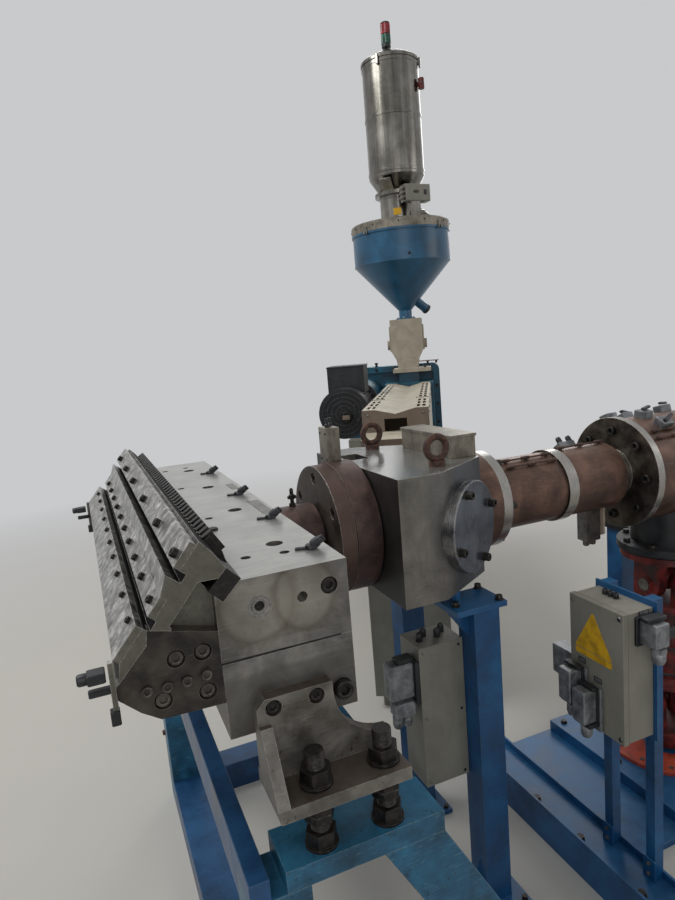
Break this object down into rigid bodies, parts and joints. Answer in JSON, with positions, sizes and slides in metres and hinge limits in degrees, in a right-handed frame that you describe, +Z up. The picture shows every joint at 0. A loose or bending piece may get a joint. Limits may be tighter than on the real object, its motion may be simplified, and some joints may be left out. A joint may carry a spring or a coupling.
{
  "type": "plastic extruder head station",
  "caption": "Head end of a sheet extrusion line: wide slot die on a stand, feedblock, heated melt pipe with pump and upright drive shaft, and a side extruder with hopper and loader",
  "frame": {"origin": "on the floor under the drive shaft's axis", "axes": "+Z up; the melt runs towards -X, and +Y points to the side extruder's side"},
  "size_m": [2.3074, 3.2506, 3.44],
  "materials": {
    "machined_steel": "speckled machined steel, oily",
    "stained_steel": "heat-stained steel",
    "dark_steel": "blackened steel",
    "heater_metal": "heat-tinted band sheet",
    "stainless": "polished stainless sheet",
    "blue_paint": "gloss paint",
    "teal_paint": "worn paint",
    "hopper_paint": "gloss paint",
    "grey_paint": "powder coat",
    "cream_paint": "worn paint",
    "red_paint": "oily paint",
    "orange_paint": "matt paint",
    "black_paint": "matt paint",
    "rusty_steel": "rusty forged steel",
    "alloy_hood": "cast alloy, satin",
    "lamp_lens": "tinted lens"
  },
  "bodies": {
    "machine": {"die_upper_body": "machined_steel", "die_lower_body": "machined_steel", "upper_lip_body": "machined_steel", "lip_bolt_bars": "machined_steel", "lower_lip_body": "stained_steel", "die_end_plates": "stained_steel", "restrictor_bar": "dark_steel", "die_brackets": "machined_steel", "bracket_studs": "dark_steel", "stand_heads": "teal_paint", "stand_legs": "teal_paint", "stand_rails": "blue_paint", "melt_neck": "heater_metal", "adapter_flange": "machined_steel", "adapter_heater": "heater_metal", "terminal_boxes": "stainless", "feedblock": "machined_steel", "feed_port_cap": "machined_steel", "lifting_eyes": "rusty_steel", "inlet_pipe": "machined_steel", "pipe_heaters": "heater_metal", "pump_body": "heater_metal", "drive_adapter": "black_paint", "drive_base": "blue_paint", "drive_ring": "orange_paint", "pump_columns": "blue_paint", "base_frame": "blue_paint", "junction_box": "grey_paint", "junction_posts": "blue_paint", "plug_hoods": "alloy_hood", "block_columns": "blue_paint", "heater_cabinet": "grey_paint", "side_barrel": "heater_metal", "barrel_cover": "cream_paint", "side_gearbox": "blue_paint", "side_motor": "black_paint", "side_stand": "grey_paint", "feed_casting": "cream_paint", "hopper_shell": "hopper_paint", "hopper_lid": "stainless", "loader_base": "stainless", "loader_vessel": "stainless", "loader_dome": "stainless", "signal_lamp": "lamp_lens"},
    "shaft": {"drive_shaft": "red_paint"}
  },
  "joints": [
    {"name": "drive_shaft_turn", "type": "hinge", "parent": "machine", "child": "shaft", "pos_m": [0, 0, 0.5], "axis": [0, 0, 1], "continuous": true}
  ]
}
